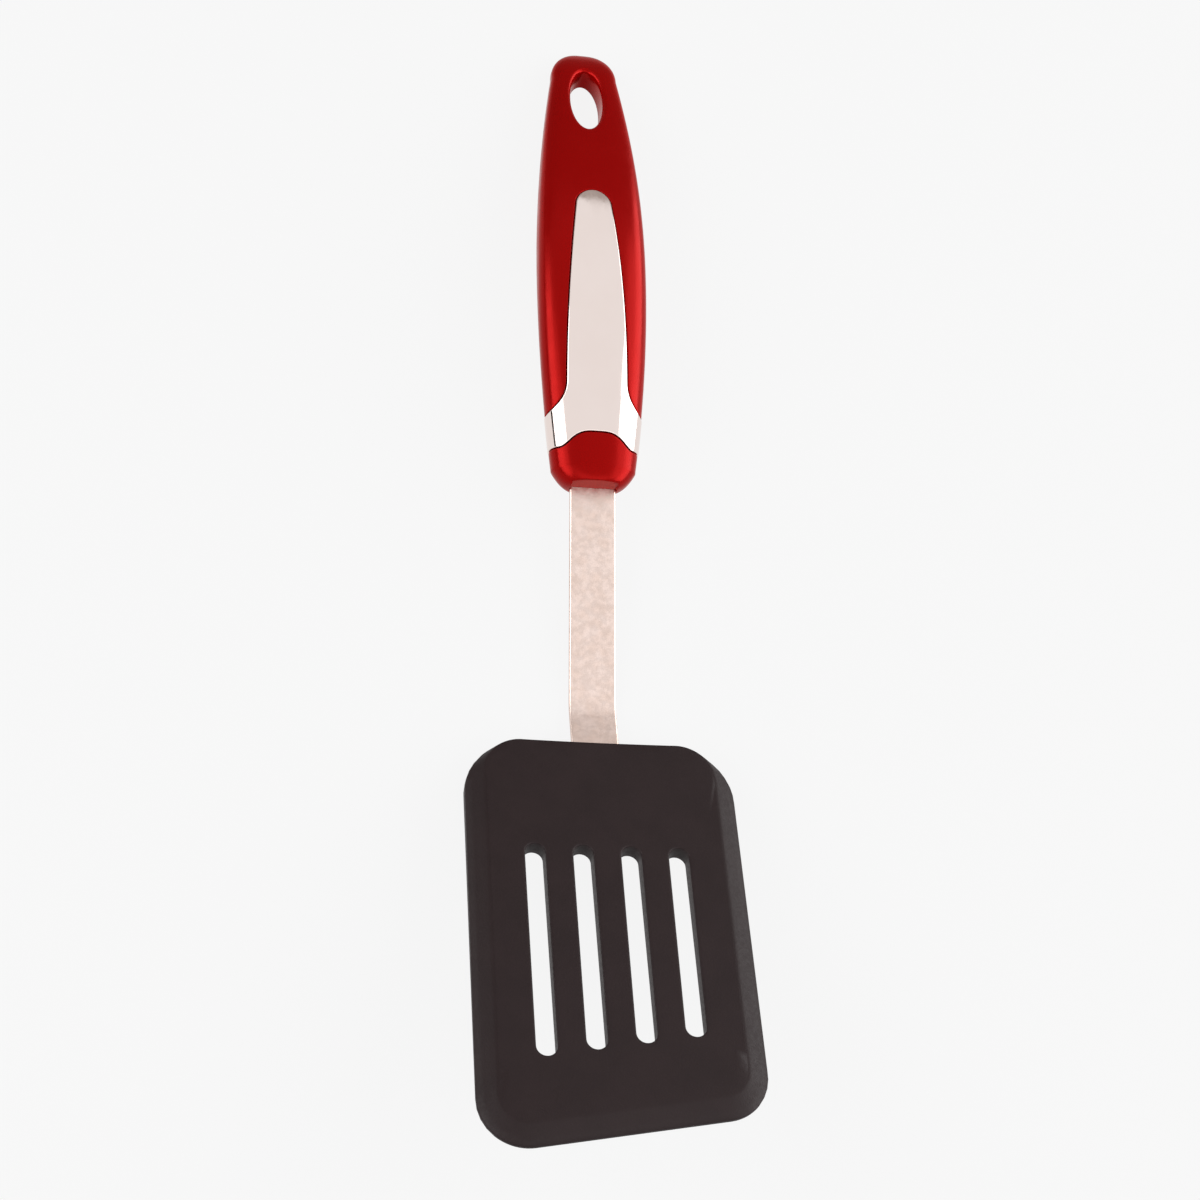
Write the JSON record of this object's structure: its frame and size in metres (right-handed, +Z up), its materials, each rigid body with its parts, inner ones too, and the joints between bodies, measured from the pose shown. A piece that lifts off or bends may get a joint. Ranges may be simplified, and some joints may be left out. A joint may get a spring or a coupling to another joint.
{
  "type": "grill spatula",
  "caption": "Slotted nylon spatula with a slanted front edge on a cranked flat steel shank, its curved red handle trimmed with chrome and pierced by an oval hanging hole.",
  "frame": {"origin": "on the table, under the middle of the spatula's box as it lies on its back", "axes": "+Y runs from the blade to the tail of the handle, +X is to the right seen from above with the handle away from the viewer, +Z is up; the spatula is tilted by about 5.5 degrees, as it settles on the heel of its shank and on the tail of its handle"},
  "size_m": [0.0795, 0.3594, 0.04],
  "materials": {
    "nylon": "fine matt moulding of heat-proof nylon, near black with a warm tint",
    "steel": "flat stainless strip with a satin finish and softly rounded edges",
    "core_plastic": "plain dark moulding, hidden inside the handle",
    "chrome": "bright chrome plating on moulded plastic",
    "red_plastic": "high-gloss moulded red plastic"
  },
  "bodies": {
    "root": {"blade": "nylon", "shank": "steel", "handle_core": "core_plastic", "tang_pins": "steel", "collar": "chrome", "nose_cap": "red_plastic", "grip": "red_plastic"}
  },
  "joints": []
}
